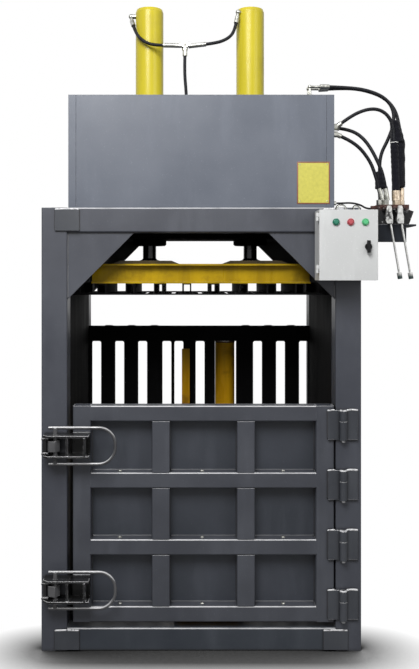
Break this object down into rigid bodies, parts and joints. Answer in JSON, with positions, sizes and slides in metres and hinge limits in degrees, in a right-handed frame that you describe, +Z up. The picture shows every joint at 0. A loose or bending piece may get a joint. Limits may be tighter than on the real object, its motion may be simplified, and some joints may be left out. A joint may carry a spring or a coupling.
{
  "type": "recycling baler",
  "caption": "Upright baling press: box-section frame, ribbed side-hung door with cam latches, twin-cylinder platen, tipping frame, push-button cabinet and lever valve.",
  "frame": {"origin": "on the ground, at the centre of the frame's footprint, on the underside of the floor bearer", "axes": "+X to the machine's right as one faces its door, +Y to the rear, +Z up"},
  "size_m": [1.592, 0.996, 2.862],
  "materials": {
    "frame_paint": "semi-gloss slate grey paint",
    "door_paint": "semi-gloss slate grey paint",
    "housing_paint": "satin blue-grey powder coat",
    "chamber_paint": "matt black paint",
    "yellow_paint": "gloss yellow paint",
    "latch_paint": "gloss black paint",
    "steel": "bright turned steel",
    "zinc": "zinc plated",
    "chrome_rod": "dark oily hard chrome",
    "cast": "dark casting with reddish brown rust on its head",
    "brass": "dull brass",
    "cabinet_paint": "light grey powder coat",
    "black_plastic": "black moulding",
    "green_button": "dark green",
    "red_button": "red",
    "light_green_button": "light green",
    "hose_rubber": "black braided-cover hose",
    "sleeve_cloth": "black woven sleeve"
  },
  "bodies": {
    "frame": {"corner_posts": "frame_paint", "top_ring": "frame_paint", "base_ring": "frame_paint", "corner_gussets": "frame_paint", "joint_plates": "frame_paint", "crown_channels": "frame_paint", "crown_plate": "frame_paint", "side_walls": "chamber_paint", "side_wall_ribs": "frame_paint", "rear_wall": "chamber_paint", "rear_wall_channels": "frame_paint", "floor_plate": "chamber_paint", "hinge_post_leaves": "frame_paint", "hinge_pins": "steel", "latch_keepers": "latch_paint", "ejector_hinge": "frame_paint", "cylinder_barrels": "yellow_paint", "cylinder_flanges": "frame_paint", "housing_front_panel": "housing_paint", "housing_side_panels": "housing_paint", "housing_top_panel": "housing_paint", "oil_tank": "frame_paint", "motor_and_pump": "frame_paint", "cabinet_case": "cabinet_paint", "valve_shelf": "frame_paint", "valve_block": "cast", "hose_fittings": "zinc", "brass_fittings": "brass", "control_cable": "hose_rubber", "supply_hose": "hose_rubber", "cap_line_hose": "hose_rubber", "rod_line_hose": "hose_rubber", "return_hose": "hose_rubber", "drain_hose": "hose_rubber", "top_left_hose": "hose_rubber", "top_right_hose": "hose_rubber", "top_down_hose": "hose_rubber", "supply_hose_sleeve": "sleeve_cloth"},
    "door": {"door_skin": "door_paint", "door_stiles": "door_paint", "door_rails": "door_paint", "door_ribs": "door_paint", "hinge_door_leaves": "door_paint", "latch_bodies": "latch_paint"},
    "upper_handle": {"upper_latch_handle": "latch_paint"},
    "lower_handle": {"lower_latch_handle": "latch_paint"},
    "platen": {"platen_face_plate": "chamber_paint", "platen_channels": "chamber_paint", "platen_beams": "yellow_paint", "platen_rod_plates": "yellow_paint", "piston_rods": "chrome_rod", "platen_guide_shoes": "chamber_paint"},
    "tipping_frame": {"ejector_frame": "yellow_paint"},
    "control_door": {"cabinet_door": "cabinet_paint"},
    "start_push": {"start_button": "green_button"},
    "stop_push": {"stop_button": "red_button"},
    "reset_push": {"reset_button": "light_green_button"},
    "lock_knob": {"cabinet_lock_knob": "black_plastic"},
    "left_valve_lever": {"left_lever": "zinc"},
    "right_valve_lever": {"right_lever": "zinc"}
  },
  "joints": [
    {"name": "door_swing", "type": "hinge", "parent": "frame", "child": "door", "pos_m": [0.6, -0.442, 0.58], "axis": [0, 0, 1], "range_deg": [0, 135]},
    {"name": "upper_latch_turn", "type": "hinge", "parent": "door", "child": "upper_handle", "pos_m": [-0.612, -0.475, 0.88], "axis": [0, 0, -1], "range_deg": [0, 150]},
    {"name": "lower_latch_turn", "type": "hinge", "parent": "door", "child": "lower_handle", "pos_m": [-0.612, -0.475, 0.276], "axis": [0, 0, -1], "range_deg": [0, 150]},
    {"name": "platen_stroke", "type": "slide", "parent": "frame", "child": "platen", "axis": [0, 0, -1], "range_m": [0, 0.88]},
    {"name": "tipping_turn", "type": "hinge", "parent": "frame", "child": "tipping_frame", "pos_m": [0.042, -0.346, 0.113], "axis": [-1, 0, 0], "range_deg": [-38, 0]},
    {"name": "control_door_swing", "type": "hinge", "parent": "frame", "child": "control_door", "pos_m": [0.474, -0.541, 1.719], "axis": [0, 0, -1], "range_deg": [0, 110]},
    {"name": "start_press", "type": "slide", "parent": "control_door", "child": "start_push", "axis": [0, 1, 0], "range_m": [0, 0.004], "stiffness_N_per_m": 300},
    {"name": "stop_press", "type": "slide", "parent": "control_door", "child": "stop_push", "axis": [0, 1, 0], "range_m": [0, 0.004], "stiffness_N_per_m": 300},
    {"name": "reset_press", "type": "slide", "parent": "control_door", "child": "reset_push", "axis": [0, 1, 0], "range_m": [0, 0.004], "stiffness_N_per_m": 300},
    {"name": "lock_turn", "type": "hinge", "parent": "control_door", "child": "lock_knob", "pos_m": [0.681, -0.551, 1.712], "axis": [0, 1, 0], "range_deg": [0, 90]},
    {"name": "left_lever_throw", "type": "hinge", "parent": "frame", "child": "left_valve_lever", "pos_m": [0.786, -0.466, 1.876], "axis": [1, 0, 0], "range_deg": [-12, 12], "stiffness_Nm_per_rad": 4},
    {"name": "right_lever_throw", "type": "hinge", "parent": "frame", "child": "right_valve_lever", "pos_m": [0.832, -0.466, 1.876], "axis": [1, 0, 0], "range_deg": [-12, 12], "stiffness_Nm_per_rad": 4}
  ]
}
